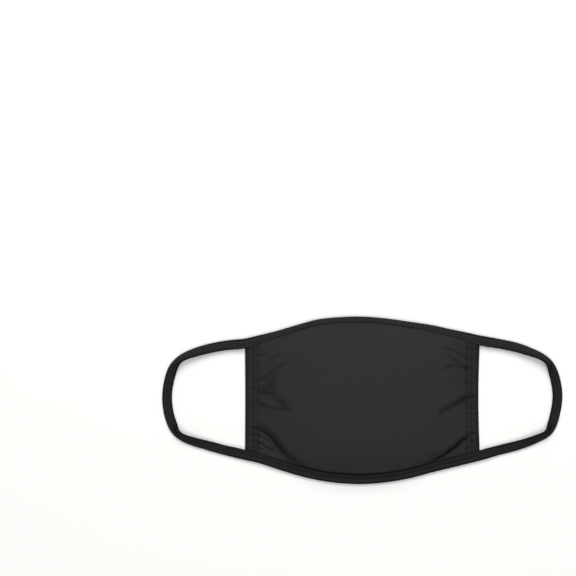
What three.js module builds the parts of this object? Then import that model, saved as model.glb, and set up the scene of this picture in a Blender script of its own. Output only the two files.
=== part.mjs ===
// A cloth face mask lying on its inner side: a domed two-ply panel with gathered side hems, and a folded tape
// that binds its upper and lower edges and runs on at each side as an ear loop.
// Millimetres. +X is to the right as the mask faces you, +Y is towards the nose edge, and +Z is out of the
// face.
// The origin is under the middle of the whole mask, on the surface that it lies on.
import * as THREE from "three";

// Whole mask
const maskLength = 320;
const maskHeight = 134;
const domeRise = 27;

// Face panel: two plies of jersey sewn as one
const panelWidth = 186.6;
const sideHeight = 98;
const sideLift = 1.8;
const clothThickness = 1;
const sidePull = { left: 0.2, right: 1 };
const sidePullPower = 9;

// Edge tape folded over the panel's upper and lower edges
const tapeWidth = 6.8;
const tapeWall = 1;

// Side hems, turned over the panel's ends
const hemWidth = 11;
const hemWall = 1;

// Ear loops: the same tape, folded shut
const strapWidth = 7.4;
const strapThickness = 2;

// Folds that run from the hems into the panel. The roll of cloth beside each is given in shares of the fold's
// own depth and width. A fold loses a share of its depth under a hem, and eases out towards the tapes.
const foldDepth = 3;
const foldWidth = 4;
const foldRoll = { height: 0.45, away: 1.9, width: 1.2 };
const foldLossInHem = 0.75;
const foldEasing = 0.06;
const foldLineSteps = 14;

// How full the rounded lips are: a strap's at its edges, and a hem's at its foot
const strapLip = 0.4;
const hemFoot = 0.4;

// Clear space between pieces, and between a hem's end and the tape
const clearance = 0.3;
const cornerClearance = 1.5;

// Spacing of the lofts' sections
const foldZone = 36;
const foldStep = 3;
const crownStep = 8.2;
const domeRows = 26;
const tapeRows = 3;
const loopSteps = 3;

// Where the crown of each section lies, as a share of half the height, and how full its shoulders are,
// as shares of the run and of the rise from the tape to the crown
const crownAt = -0.06;
const chinShoulder = { run: 0.17, rise: 0.76, crown: 0.45 };
const noseShoulder = { run: 0.17, rise: 0.6, crown: 0.5 };

// Sections across the panel. at is a share of half the panel's width. nose and chin say how far the upper and
// lower outlines stand out, as shares of each edge's arch. rise is a share of the dome's rise. The tilts are
// the tape's slopes in degrees.
const sections = [
  { at: -1.0, nose: -0.09, chin: 0.03, rise: 0.06, noseTilt: 10, chinTilt: 10 },
  { at: -0.88, nose: 0.08, chin: 0.16, rise: 0.12, noseTilt: 24, chinTilt: 16 },
  { at: -0.75, nose: 0.26, chin: 0.36, rise: 0.42, noseTilt: 40, chinTilt: 17 },
  { at: -0.55, nose: 0.6, chin: 0.65, rise: 0.74, noseTilt: 50, chinTilt: 14 },
  { at: -0.38, nose: 0.86, chin: 0.84, rise: 0.9, noseTilt: 53, chinTilt: 11 },
  { at: -0.2, nose: 0.97, chin: 0.96, rise: 0.98, noseTilt: 53, chinTilt: 10 },
  { at: 0.0, nose: 1.0, chin: 1.0, rise: 1.0, noseTilt: 53, chinTilt: 10 },
  { at: 0.2, nose: 0.91, chin: 0.93, rise: 0.98, noseTilt: 53, chinTilt: 10 },
  { at: 0.4, nose: 0.75, chin: 0.77, rise: 0.89, noseTilt: 51, chinTilt: 11 },
  { at: 0.6, nose: 0.57, chin: 0.52, rise: 0.69, noseTilt: 46, chinTilt: 13 },
  { at: 0.76, nose: 0.37, chin: 0.34, rise: 0.4, noseTilt: 38, chinTilt: 16 },
  { at: 0.88, nose: 0.23, chin: 0.2, rise: 0.12, noseTilt: 24, chinTilt: 16 },
  { at: 1.0, nose: 0.07, chin: 0.06, rise: 0.06, noseTilt: 10, chinTilt: 10 },
];

// Folds of the panel. Each starts at a hem and ends at (toX, toY), in shares of the panel's half width and of
// the mask's half height. bow bends its line to the left of its way, as a share of its length. depth and
// width are shares of the named ones, and hold is the share of its depth left at the far end.
const folds = [
  { fromX: -0.89, fromY: 0.47, toX: -0.75, toY: 0.62, bow: 0.0, depth: 0.25, width: 0.7, hold: 0 },
  { fromX: -0.88, fromY: 0.25, toX: -0.64, toY: 0.48, bow: 0.05, depth: 0.4, width: 0.7, hold: 0 },
  { fromX: -0.91, fromY: 0.08, toX: -0.71, toY: 0.33, bow: -0.1, depth: 0.75, width: 0.9, hold: 0 },
  { fromX: -0.91, fromY: 0.04, toX: -0.58, toY: -0.12, bow: 0.1, depth: 0.7, width: 0.9, hold: 0 },
  { fromX: -0.93, fromY: -0.34, toX: -0.53, toY: -0.77, bow: 0.09, depth: 1.0, width: 1.0, hold: 0.7 },
  { fromX: -0.93, fromY: -0.49, toX: -0.68, toY: -0.63, bow: 0.06, depth: 0.35, width: 0.6, hold: 0 },
  { fromX: 0.91, fromY: 0.4, toX: 0.73, toY: 0.58, bow: -0.06, depth: 0.35, width: 0.7, hold: 0 },
  { fromX: 0.9, fromY: 0.34, toX: 0.66, toY: 0.36, bow: -0.14, depth: 0.35, width: 0.7, hold: 0 },
  { fromX: 0.94, fromY: 0.06, toX: 0.64, toY: -0.19, bow: 0.0, depth: 0.7, width: 0.9, hold: 0 },
  { fromX: 0.97, fromY: -0.4, toX: 0.42, toY: -0.83, bow: 0.07, depth: 1.0, width: 1.0, hold: 0.7 },
  { fromX: 0.95, fromY: -0.56, toX: 0.7, toY: -0.69, bow: 0.04, depth: 0.3, width: 0.6, hold: 0 },
];

// Centre lines of the ear loops, from the nose edge round to the chin edge. along is a share of the loop's
// reach, across a share of half the side's height, and roll its slope in degrees: the strap lies flat down the
// ear and stands up on its outer edge in the two bends.
const leftLoop = [
  { along: 0.28, across: 0.895, roll: 16 },
  { along: 0.52, across: 0.832, roll: 26 },
  { along: 0.7, across: 0.761, roll: 43 },
  { along: 0.8, across: 0.706, roll: 54 },
  { along: 0.872, across: 0.632, roll: 53 },
  { along: 0.925, across: 0.522, roll: 26 },
  { along: 0.972, across: 0.33, roll: 8 },
  { along: 1.0, across: 0.07, roll: 5 },
  { along: 0.975, across: -0.226, roll: 6 },
  { along: 0.92, across: -0.432, roll: 20 },
  { along: 0.869, across: -0.548, roll: 52 },
  { along: 0.79, across: -0.616, roll: 46 },
  { along: 0.68, across: -0.67, roll: 36 },
  { along: 0.52, across: -0.728, roll: 24 },
  { along: 0.3, across: -0.806, roll: 14 },
];
const rightLoop = [
  { along: 0.25, across: 0.928, roll: 14 },
  { along: 0.475, across: 0.868, roll: 22 },
  { along: 0.67, across: 0.785, roll: 42 },
  { along: 0.8, across: 0.712, roll: 54 },
  { along: 0.878, across: 0.636, roll: 56 },
  { along: 0.93, across: 0.51, roll: 26 },
  { along: 0.974, across: 0.33, roll: 8 },
  { along: 1.0, across: 0.06, roll: 5 },
  { along: 0.97, across: -0.216, roll: 6 },
  { along: 0.919, across: -0.432, roll: 22 },
  { along: 0.866, across: -0.546, roll: 52 },
  { along: 0.775, across: -0.604, roll: 44 },
  { along: 0.66, across: -0.668, roll: 36 },
  { along: 0.5, across: -0.737, roll: 22 },
  { along: 0.27, across: -0.812, roll: 13 },
];

// Sizes that follow from the driving ones
const panelHalf = panelWidth / 2;
const maskHalf = maskHeight / 2;
const sideHalf = sideHeight / 2;
const noseSide = sideHalf + sideLift;
const chinSide = sideHalf - sideLift;
const tapeInside = clothThickness / 2 + clearance;
const tapeOutside = tapeInside + tapeWall;
const hemInside = clothThickness / 2 + clearance;
const hemOutside = hemInside + hemWall;
const tapeLeg = tapeWidth - tapeOutside;
const loopReach = (maskLength - panelWidth - strapWidth) / 2;

// Every column of a table at one place, on a smooth curve through its rows.
function readTable(rows, at) {
  const last = rows.length - 1;
  const found = rows.findIndex((row) => row.at >= at);
  const next = THREE.MathUtils.clamp(found < 0 ? last : found, 1, last);
  const [before, from, to, after] = [next - 2, next - 1, next, next + 1].map(
    (i) => rows[THREE.MathUtils.clamp(i, 0, last)],
  );
  const span = to.at - from.at;
  const t = (at - from.at) / span;
  const value = (key) => {
    const leave = ((to[key] - before[key]) / (to.at - before.at)) * span;
    const arrive = ((after[key] - from[key]) / (after.at - from.at)) * span;
    return (
      from[key] * (2 * t ** 3 - 3 * t ** 2 + 1) +
      to[key] * (3 * t ** 2 - 2 * t ** 3) +
      leave * (t ** 3 - 2 * t ** 2 + t) +
      arrive * (t ** 3 - t ** 2)
    );
  };
  return Object.fromEntries(Object.keys(from).map((key) => [key, value(key)]));
}

// The fold's line in the plane of the table.
function foldLine({ fromX, fromY, toX, toY, bow }) {
  const from = new THREE.Vector2(fromX * panelHalf, fromY * maskHalf);
  const to = new THREE.Vector2(toX * panelHalf, toY * maskHalf);
  const way = to.clone().sub(from);
  const bend = new THREE.Vector2(-way.y, way.x).multiplyScalar(2 * bow);
  const middle = from.clone().lerp(to, 0.5).add(bend);
  return new THREE.QuadraticBezierCurve(from, middle, to).getPoints(foldLineSteps);
}

// How far each fold lifts or sinks the panel at a place: a valley along its line, with a soft roll of cloth
// on its upper side.
const foldLines = folds.map((fold) => ({ fold, points: foldLine(fold) }));
function foldHeight(x, y) {
  const place = new THREE.Vector2(x, y);
  return foldLines.reduce((sum, { fold, points }) => {
    const distances = points.map((point) => point.distanceTo(place));
    const nearest = distances.indexOf(Math.min(...distances));
    const share = nearest / (points.length - 1);
    const side = Math.sign(y - points[nearest].y) || 1;
    const away = (side * distances[nearest]) / (fold.width * foldWidth);
    const fade = THREE.MathUtils.lerp(1 - share ** 2, 1, fold.hold);
    const valley = -Math.exp(-(away ** 2));
    const roll = foldRoll.height * Math.exp(-(((away - foldRoll.away) / foldRoll.width) ** 2));
    return sum + fold.depth * foldDepth * fade * (valley + roll);
  }, 0);
}

// Distances of the panel's columns from its middle, closer together where the folds are.
function columnPlaces() {
  const rawEnd = panelHalf - hemOutside;
  const hemEnd = panelHalf - hemWidth;
  const crownEnd = hemEnd - foldZone;
  const foldColumns = Math.round(foldZone / foldStep);
  const crownColumns = Math.round(crownEnd / crownStep);
  const half = [panelHalf, rawEnd, (rawEnd + hemEnd) / 2];
  for (let i = 0; i < foldColumns; i++) half.push(hemEnd - (foldZone * i) / foldColumns);
  for (let i = 0; i < crownColumns; i++) half.push(crownEnd * (1 - i / crownColumns));
  return [...half.map((x) => -x), 0, ...half.reverse()];
}

// One section of the panel's middle layer, from the chin edge to the nose edge: both edges run straight
// inside the tape, and two curves between them make the dome.
function panelSection(x) {
  const row = readTable(sections, x / panelHalf);
  const chinSlope = THREE.MathUtils.degToRad(row.chinTilt);
  const noseSlope = THREE.MathUtils.degToRad(row.noseTilt);
  const point = (y, z) => new THREE.Vector3(x, y, z);
  const margin = tapeLeg + cornerClearance;
  const chinEdge = point(tapeOutside - chinSide - row.chin * (maskHalf - chinSide), tapeOutside);
  const noseEdge = point(noseSide + row.nose * (maskHalf - noseSide) - tapeOutside, tapeOutside);
  const chinWay = new THREE.Vector3(0, Math.cos(chinSlope), Math.sin(chinSlope));
  const noseWay = new THREE.Vector3(0, -Math.cos(noseSlope), Math.sin(noseSlope));
  const chinEnd = chinEdge.clone().addScaledVector(chinWay, margin);
  const noseEnd = noseEdge.clone().addScaledVector(noseWay, margin);
  const crown = point(crownAt * maskHalf, row.rise * domeRise);
  const shoulder = (end, { run, rise }) =>
    point(end.y + run * (crown.y - end.y), end.z + rise * (crown.z - end.z));
  const beside = (end, share) => point(crown.y + share * (end.y - crown.y), crown.z);
  const dome = new THREE.CurvePath();
  dome.add(
    new THREE.CubicBezierCurve3(
      chinEnd,
      shoulder(chinEnd, chinShoulder),
      beside(chinEnd, chinShoulder.crown),
      crown,
    ),
  );
  dome.add(
    new THREE.CubicBezierCurve3(
      crown,
      beside(noseEnd, noseShoulder.crown),
      shoulder(noseEnd, noseShoulder),
      noseEnd,
    ),
  );
  const edge = (from, way) => {
    const step = way.clone().multiplyScalar(tapeLeg / (tapeRows - 1));
    return Array.from({ length: tapeRows }, (_, i) => from.clone().addScaledVector(step, i));
  };
  return {
    chin: edge(chinEdge, chinWay),
    dome: dome.getSpacedPoints(domeRows),
    nose: edge(noseEdge, noseWay).reverse(),
  };
}

// The panel's middle layer as a grid of points, a column for each section, with the folds and the pull of the
// gathered sides.
function panelGrid() {
  return columnPlaces().map((x) => {
    const { chin, dome, nose } = panelSection(x);
    const pull = (x < 0 ? -sidePull.left : sidePull.right) * Math.abs(x / panelHalf) ** sidePullPower;
    const inHem = THREE.MathUtils.smoothstep(Math.abs(x), panelHalf - hemWidth, panelHalf);
    const depth = 1 - foldLossInHem * inHem;
    dome.forEach((point, i) => {
      const share = i / (dome.length - 1);
      const eased = THREE.MathUtils.smoothstep(share * (1 - share), 0, foldEasing);
      point.z += foldHeight(x, point.y) * depth * eased;
      point.x -= pull * Math.sin(Math.PI * share);
      point.z = Math.max(point.z, hemOutside);
    });
    return [...chin, ...dome, ...nose];
  });
}

// The outward normal at each point of the grid.
function gridNormals(grid) {
  const lastColumn = grid.length - 1;
  const lastRow = grid[0].length - 1;
  return grid.map((column, i) =>
    column.map((point, j) => {
      const across = grid[Math.min(i + 1, lastColumn)][j].clone().sub(grid[Math.max(i - 1, 0)][j]);
      const along = column[Math.min(j + 1, lastRow)].clone().sub(column[Math.max(j - 1, 0)]);
      return across.cross(along).normalize();
    }),
  );
}

// A point and its normal, moved off the layer.
function lifted(point, normal, distance) {
  return point.clone().addScaledVector(normal, distance);
}

// A closed wall lofted through sections, each with an outer and an inner line of as many points.
function wallGeometry(walls) {
  const rings = walls.map(({ outer, inner }) => [...outer, ...[...inner].reverse()]);
  const count = rings[0].length;
  const half = count / 2;
  const positions = rings.flat().flatMap((point) => point.toArray());
  const faces = [];
  const quad = (a, b, c, d) => faces.push(a, b, c, a, c, d);
  for (let i = 0; i < rings.length - 1; i++) {
    for (let j = 0; j < count; j++) {
      const here = i * count;
      const there = here + count;
      const next = (j + 1) % count;
      quad(here + j, there + j, there + next, here + next);
    }
  }
  const far = (rings.length - 1) * count;
  for (let j = 0; j < half - 1; j++) {
    const across = count - 1 - j;
    quad(j, j + 1, across - 1, across);
    quad(far + j, far + across, far + across - 1, far + j + 1);
  }
  const geometry = new THREE.BufferGeometry();
  geometry.setAttribute("position", new THREE.Float32BufferAttribute(positions, 3));
  geometry.setIndex(faces);
  geometry.computeVertexNormals();
  return geometry;
}

const jersey = new THREE.MeshStandardMaterial({ color: 0x323231, roughness: 0.92, metalness: 0 });
const jerseyHem = new THREE.MeshStandardMaterial({ color: 0x2d2d2c, roughness: 0.92, metalness: 0 });
const jerseyTape = new THREE.MeshStandardMaterial({ color: 0x282828, roughness: 0.9, metalness: 0 });

function piece(name, walls, material) {
  const mesh = new THREE.Mesh(wallGeometry(walls), material);
  mesh.name = name;
  return mesh;
}

// The panel reaches into the tape above and below, and into the hems at its ends.
function facePanel(grid, normals) {
  const walls = grid.slice(1, -1).map((column, i) => {
    const side = (distance) => column.map((point, j) => lifted(point, normals[i + 1][j], distance));
    return { outer: side(clothThickness / 2), inner: side(-clothThickness / 2) };
  });
  return piece("face_panel", walls, jersey);
}

// A strip folded round an edge: down one face of the layer, round the edge, and back along the other face.
// line holds the layer's points from the strip's end to the edge, with their normals.
function foldedRound(line, distance, turns) {
  const edge = line[line.length - 1];
  const out = edge.point.clone().sub(line[line.length - 2].point).normalize();
  const face = (side) => line.map(({ point, normal }) => lifted(point, normal, side * distance));
  const round = turns.map((turn) =>
    edge.point
      .clone()
      .addScaledVector(edge.normal, distance * Math.cos(turn))
      .addScaledVector(out, distance * Math.sin(turn)),
  );
  return [...face(1), ...round, ...face(-1).reverse()];
}

const tapeTurns = [Math.PI / 4, Math.PI / 2, (3 * Math.PI) / 4];

// The tape on one long edge. fromEdge picks the grid's rows from the tape's end to the panel's edge.
function edgeBinding(name, grid, normals, rows, flip) {
  const walls = grid.map((column, i) => {
    const line = rows(column).map((point, j) => ({ point, normal: rows(normals[i])[j] }));
    return {
      outer: foldedRound(line, tapeOutside, tapeTurns),
      inner: foldedRound(line, tapeInside, tapeTurns),
    };
  });
  return piece(name, flip ? walls.reverse() : walls, jerseyTape);
}

// A hem turned over one end of the panel, from tape to tape. Its upper leg follows the gathered panel, and its
// lower leg lies flat on the table. line holds the panel's points from the hem's seam to the panel's end.
function hemLine(line, distance, floor) {
  const end = line[line.length - 1];
  const side = Math.sign(end.point.x);
  const upper = line.map(({ point, normal }) => lifted(point, normal, distance));
  const lower = line.map(({ point }) => new THREE.Vector3(point.x, point.y, floor)).reverse();
  const turn = end.point.clone().setX(end.point.x + side * distance);
  const foot = new THREE.Vector3(turn.x, turn.y, THREE.MathUtils.lerp(floor, turn.z, hemFoot));
  return [...upper, turn, foot, ...lower];
}

function sideHem(name, columns, columnNormals, flip) {
  const firstRow = tapeRows;
  const lastRow = columns[0].length - 1 - firstRow;
  const walls = [];
  for (let j = firstRow; j <= lastRow; j++) {
    const line = columns.map((column, i) => ({ point: column[j], normal: columnNormals[i][j] }));
    walls.push({ outer: hemLine(line, hemOutside, 0), inner: hemLine(line, hemInside, hemWall) });
  }
  return piece(name, flip ? walls.reverse() : walls, jerseyHem);
}

// The strap's section at a place on its line: outwards is the level way out of the loop, and roll lifts the
// strap's inner edge.
function strapSection(centre, outwards, roll) {
  const across = outwards.clone().multiplyScalar(Math.cos(roll)).setZ(-Math.sin(roll));
  const up = outwards.clone().multiplyScalar(Math.sin(roll)).setZ(Math.cos(roll));
  const lip = strapThickness / 2;
  const face = (side) =>
    [
      [-strapWidth / 2, strapLip],
      [lip - strapWidth / 2, 1],
      [strapWidth / 2 - lip, 1],
      [strapWidth / 2, strapLip],
    ].map(([along, share]) =>
      centre
        .clone()
        .addScaledVector(across, along)
        .addScaledVector(up, side * share * lip),
    );
  return { outer: face(1), inner: face(-1) };
}

// How high the strap's centre line is when its outer edge rests on the table.
function restHeight(roll) {
  return (strapWidth / 2) * Math.sin(roll) + (strapThickness / 2) * Math.cos(roll);
}

// Where the strap leaves the tape's end: level with the tape's fold, and as steep.
function strapEnd(edge, beforeEdge, side) {
  const out = edge.clone().sub(beforeEdge).normalize();
  const roll = Math.asin(-out.z);
  const place = edge.clone().addScaledVector(out, tapeOutside - strapWidth / 2);
  place.x = side * (panelHalf + clearance);
  return { place, roll };
}

function earLoop(name, grid, rows, side) {
  const column = grid[side < 0 ? 0 : grid.length - 1];
  const last = column.length - 1;
  const noseEnd = strapEnd(column[last], column[last - 1], side);
  const chinEnd = strapEnd(column[0], column[1], side);
  const between = rows.map((row) => {
    const roll = THREE.MathUtils.degToRad(row.roll);
    const height = restHeight(roll);
    const x = side * (panelHalf + row.along * loopReach);
    return { place: new THREE.Vector3(x, row.across * sideHalf, height), roll };
  });
  const stops = [noseEnd, ...between, chinEnd];
  const line = new THREE.CatmullRomCurve3(stops.map((stop) => stop.place));
  const sectionsInAll = (stops.length - 1) * loopSteps;
  const walls = [];
  for (let i = 0; i <= sectionsInAll; i++) {
    const t = i / sectionsInAll;
    const from = Math.min(Math.floor(i / loopSteps), stops.length - 2);
    const share = THREE.MathUtils.smoothstep(i / loopSteps - from, 0, 1);
    const roll = THREE.MathUtils.lerp(stops[from].roll, stops[from + 1].roll, share);
    const way = line.getTangent(t).setZ(0).normalize();
    if (i === 0) way.set(side, 0, 0);
    if (i === sectionsInAll) way.set(-side, 0, 0);
    const outwards = new THREE.Vector3(-side * way.y, side * way.x, 0);
    walls.push(strapSection(line.getPoint(t), outwards, roll));
  }
  return piece(name, side < 0 ? walls.reverse() : walls, jerseyTape);
}

const grid = panelGrid();
const normals = gridNormals(grid);
// The columns under a hem, from its seam to the panel's end.
const underHem = (list, side) => (side < 0 ? list.slice(1, 4).reverse() : list.slice(-4, -1));

const mask = new THREE.Group();
mask.add(
  facePanel(grid, normals),
  edgeBinding("nose_edge_binding", grid, normals, (column) => column.slice(-tapeRows), false),
  edgeBinding("chin_edge_binding", grid, normals, (column) => column.slice(0, tapeRows).reverse(), true),
  sideHem("side_hem_left", underHem(grid, -1), underHem(normals, -1), false),
  sideHem("side_hem_right", underHem(grid, 1), underHem(normals, 1), true),
  earLoop("ear_loop_left", grid, leftLoop, -1),
  earLoop("ear_loop_right", grid, rightLoop, 1),
);

export default mask;
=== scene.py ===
"""A cloth face mask of black cotton jersey, lying on its inner side on a pale table.

The frame is in metres: +X to the right as the mask's front faces you, +Y towards the nose edge, +Z out of the
face, and the origin under the middle of the mask on the table.
"""
import logging
import math
from dataclasses import dataclass, field
from enum import Enum
from typing import Sequence

import bmesh
import bpy
import numpy as np
from mathutils import Matrix, Vector


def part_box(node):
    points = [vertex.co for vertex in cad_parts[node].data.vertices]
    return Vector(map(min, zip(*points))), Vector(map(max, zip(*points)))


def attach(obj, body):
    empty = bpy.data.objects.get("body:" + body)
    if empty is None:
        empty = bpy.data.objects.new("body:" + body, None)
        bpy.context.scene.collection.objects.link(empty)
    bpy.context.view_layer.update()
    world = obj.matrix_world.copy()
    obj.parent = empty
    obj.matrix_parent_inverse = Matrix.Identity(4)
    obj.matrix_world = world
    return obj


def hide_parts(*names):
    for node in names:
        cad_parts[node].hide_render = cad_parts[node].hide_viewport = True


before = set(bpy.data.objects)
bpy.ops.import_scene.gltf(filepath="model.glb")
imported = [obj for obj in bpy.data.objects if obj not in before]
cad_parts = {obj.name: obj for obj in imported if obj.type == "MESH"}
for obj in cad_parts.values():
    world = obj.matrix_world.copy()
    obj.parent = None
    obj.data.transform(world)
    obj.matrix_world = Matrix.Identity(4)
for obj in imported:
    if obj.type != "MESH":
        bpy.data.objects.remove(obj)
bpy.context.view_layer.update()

MM = 0.001
WELD = 0.02 * MM
log = logging.getLogger("mask")


class Side(Enum):
    """A side of the mask, as its front faces you."""

    LEFT = -1
    RIGHT = 1


class Edge(Enum):
    """A long edge of the panel: which end of a section it is."""

    CHIN = -1
    NOSE = 1


# Curves


def read_column(stops: np.ndarray, values: np.ndarray, at: np.ndarray) -> np.ndarray:
    """Read one column of a table on a smooth curve through its rows.

    Args:
        stops: Where the rows stand, rising.
        values: The column's values at those rows.
        at: The places to read.

    Returns:
        A value for each place.
    """
    slopes = np.gradient(values, stops)
    row = np.clip(np.searchsorted(stops, at) - 1, 0, len(stops) - 2)
    span = stops[row + 1] - stops[row]
    t = np.clip((at - stops[row]) / span, 0, 1)
    return (values[row] * (2 * t**3 - 3 * t**2 + 1) + values[row + 1] * (3 * t**2 - 2 * t**3)
            + slopes[row] * span * (t**3 - 2 * t**2 + t) + slopes[row + 1] * span * (t**3 - t**2))


def run_along(points: np.ndarray) -> np.ndarray:
    """The distance along a polyline up to each of its points."""
    return np.concatenate([[0.0], np.cumsum(np.linalg.norm(np.diff(points, axis=0), axis=1))])


def unit(vectors: np.ndarray) -> np.ndarray:
    """The same ways, each of length 1."""
    return vectors / np.linalg.norm(vectors, axis=-1, keepdims=True)


def even_curve(points: np.ndarray, count: int) -> np.ndarray:
    """Even steps along a polyline.

    Args:
        points: The polyline, a row each.
        count: How many points to give back.

    Returns:
        The points, evenly spaced, with the ends kept.
    """
    run = run_along(points)
    at = np.linspace(0, run[-1], count)
    return np.stack([np.interp(at, run, column) for column in points.T], axis=1)


def smooth_curve(points: Sequence[Sequence[float]], count: int) -> np.ndarray:
    """A smooth curve through points, in even steps.

    Args:
        points: The points that it goes through.
        count: How many points to give back.

    Returns:
        The curve's points.
    """
    given = np.array(points, float)
    run = run_along(given)
    at = np.linspace(0, run[-1], count * 4)
    return even_curve(np.stack([read_column(run, column, at) for column in given.T], axis=1), count)


def bezier(points: Sequence[np.ndarray], count: int) -> np.ndarray:
    """A cubic Bezier curve.

    Args:
        points: Its four control points.
        count: How many points to give back.

    Returns:
        The curve's points, evenly spaced in its parameter.
    """
    t = np.linspace(0, 1, count)[:, None]
    a, b, c, d = points
    return a * (1 - t) ** 3 + 3 * b * t * (1 - t) ** 2 + 3 * c * t**2 * (1 - t) + d * t**3


def smoothstep(low: float, high: float, value: np.ndarray | float) -> np.ndarray:
    """0 below low, 1 above high, and an even turn between."""
    t = np.clip((value - low) / (high - low), 0, 1)
    return t * t * (3 - 2 * t)


def bell(value: np.ndarray | float, middle: float, half: float) -> np.ndarray:
    """1 at the middle, falling away on both sides of it over about the half width."""
    return np.exp(-(((value - middle) / half) ** 2))


def lattice_normals(lattice: np.ndarray) -> np.ndarray:
    """The unit normals of a lattice of points whose rows run along +X and whose columns run along +Y."""
    return unit(np.cross(np.gradient(lattice, axis=0), np.gradient(lattice, axis=1)))


# Tables of the form


@dataclass(frozen=True)
class Section:
    """A section across the panel. at is a share of half its width, nose and chin are shares of each edge's
    arch, rise is a share of the dome's, and the tilts are the tape's slopes in degrees."""

    at: float
    nose: float
    chin: float
    rise: float
    nose_tilt: float
    chin_tilt: float


SECTIONS = (
    Section(at=-1.0, nose=-0.09, chin=0.03, rise=0.06, nose_tilt=10, chin_tilt=10),
    Section(at=-0.88, nose=0.08, chin=0.16, rise=0.12, nose_tilt=24, chin_tilt=16),
    Section(at=-0.75, nose=0.26, chin=0.36, rise=0.42, nose_tilt=40, chin_tilt=17),
    Section(at=-0.55, nose=0.6, chin=0.65, rise=0.74, nose_tilt=50, chin_tilt=14),
    Section(at=-0.38, nose=0.86, chin=0.84, rise=0.9, nose_tilt=53, chin_tilt=11),
    Section(at=-0.2, nose=0.97, chin=0.96, rise=0.98, nose_tilt=53, chin_tilt=10),
    Section(at=0.0, nose=1.0, chin=1.0, rise=1.0, nose_tilt=53, chin_tilt=10),
    Section(at=0.2, nose=0.91, chin=0.93, rise=0.98, nose_tilt=53, chin_tilt=10),
    Section(at=0.4, nose=0.75, chin=0.77, rise=0.89, nose_tilt=51, chin_tilt=11),
    Section(at=0.6, nose=0.57, chin=0.52, rise=0.69, nose_tilt=46, chin_tilt=13),
    Section(at=0.76, nose=0.37, chin=0.34, rise=0.4, nose_tilt=38, chin_tilt=16),
    Section(at=0.88, nose=0.23, chin=0.2, rise=0.12, nose_tilt=24, chin_tilt=16),
    Section(at=1.0, nose=0.07, chin=0.06, rise=0.06, nose_tilt=10, chin_tilt=10),
)


@dataclass(frozen=True)
class Stop:
    """A place on an ear loop's centre line. along is a share of the loop's reach, across a share of half the
    side's height, and roll its slope in degrees."""

    along: float
    across: float
    roll: float


LEFT_LOOP = (
    Stop(along=0.28, across=0.895, roll=16),
    Stop(along=0.52, across=0.832, roll=26),
    Stop(along=0.7, across=0.761, roll=43),
    Stop(along=0.8, across=0.706, roll=54),
    Stop(along=0.872, across=0.632, roll=53),
    Stop(along=0.925, across=0.522, roll=26),
    Stop(along=0.972, across=0.33, roll=8),
    Stop(along=1.0, across=0.07, roll=5),
    Stop(along=0.975, across=-0.226, roll=6),
    Stop(along=0.92, across=-0.432, roll=20),
    Stop(along=0.869, across=-0.548, roll=52),
    Stop(along=0.79, across=-0.616, roll=46),
    Stop(along=0.68, across=-0.67, roll=36),
    Stop(along=0.52, across=-0.728, roll=24),
    Stop(along=0.3, across=-0.806, roll=14),
)
RIGHT_LOOP = (
    Stop(along=0.25, across=0.928, roll=14),
    Stop(along=0.475, across=0.868, roll=22),
    Stop(along=0.67, across=0.785, roll=42),
    Stop(along=0.8, across=0.712, roll=54),
    Stop(along=0.878, across=0.636, roll=56),
    Stop(along=0.93, across=0.51, roll=26),
    Stop(along=0.974, across=0.33, roll=8),
    Stop(along=1.0, across=0.06, roll=5),
    Stop(along=0.97, across=-0.216, roll=6),
    Stop(along=0.919, across=-0.432, roll=22),
    Stop(along=0.866, across=-0.546, roll=52),
    Stop(along=0.775, across=-0.604, roll=44),
    Stop(along=0.66, across=-0.668, roll=36),
    Stop(along=0.5, across=-0.737, roll=22),
    Stop(along=0.27, across=-0.812, roll=13),
)


@dataclass(frozen=True)
class Fold:
    """A crease of the panel, in millimetres.

    It runs through points on the table's plane. depth is the valley's and width its half width. roll_left
    and roll_right are the heights of the cloth's rolls beside it, seen along its way. lead and tail are the
    lengths over which it fades in and out, and shade is the painted shade of its shut core, from 0 to 1.
    """

    points: tuple[tuple[float, float], ...]
    depth: float
    width: float
    roll_left: float = 0.0
    roll_right: float = 0.0
    roll_width: float = 3.0
    lead: float = 2.0
    tail: float = 8.0
    shade: float = 0.2

    def press(self, x: np.ndarray, y: np.ndarray, lift: np.ndarray, shade: np.ndarray) -> None:
        """Press the crease into the cloth.

        Args:
            x: Places across the mask.
            y: Places along it.
            lift: The cloth's lift at those places, which is changed.
            shade: The cloth's painted shade there, which is changed.
        """
        line = smooth_curve(self.points, 40)
        room = 3 * max(self.width, self.roll_width) + self.width
        low, high = line.min(axis=0) - room, line.max(axis=0) + room
        near = (x > low[0]) & (x < high[0]) & (y > low[1]) & (y < high[1])
        if not near.any():
            return
        away = np.stack([x[near], y[near]], axis=1)[:, None, :] - line[None, :, :]
        gap = np.linalg.norm(away, axis=2)
        nearest = np.argmin(gap, axis=1)
        pick = np.arange(len(nearest))
        offset, way = away[pick, nearest], unit(np.gradient(line, axis=0))[nearest]
        left = way[:, 0] * offset[:, 1] - way[:, 1] * offset[:, 0]
        distance = gap[pick, nearest] * np.where(left >= 0, 1, -1)
        run = run_along(line)
        fade = smoothstep(0, self.lead, run[nearest]) * smoothstep(0, self.tail, run[-1] - run[nearest])
        core = bell(distance, 0, self.width)
        beside = self.width + 0.8 * self.roll_width
        rolls = (self.roll_left * bell(distance, beside, self.roll_width)
                 + self.roll_right * bell(distance, -beside, self.roll_width))
        lift[near] += fade * (rolls - self.depth * core)
        shade[near] = np.maximum(shade[near], fade * self.shade * core)


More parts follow.
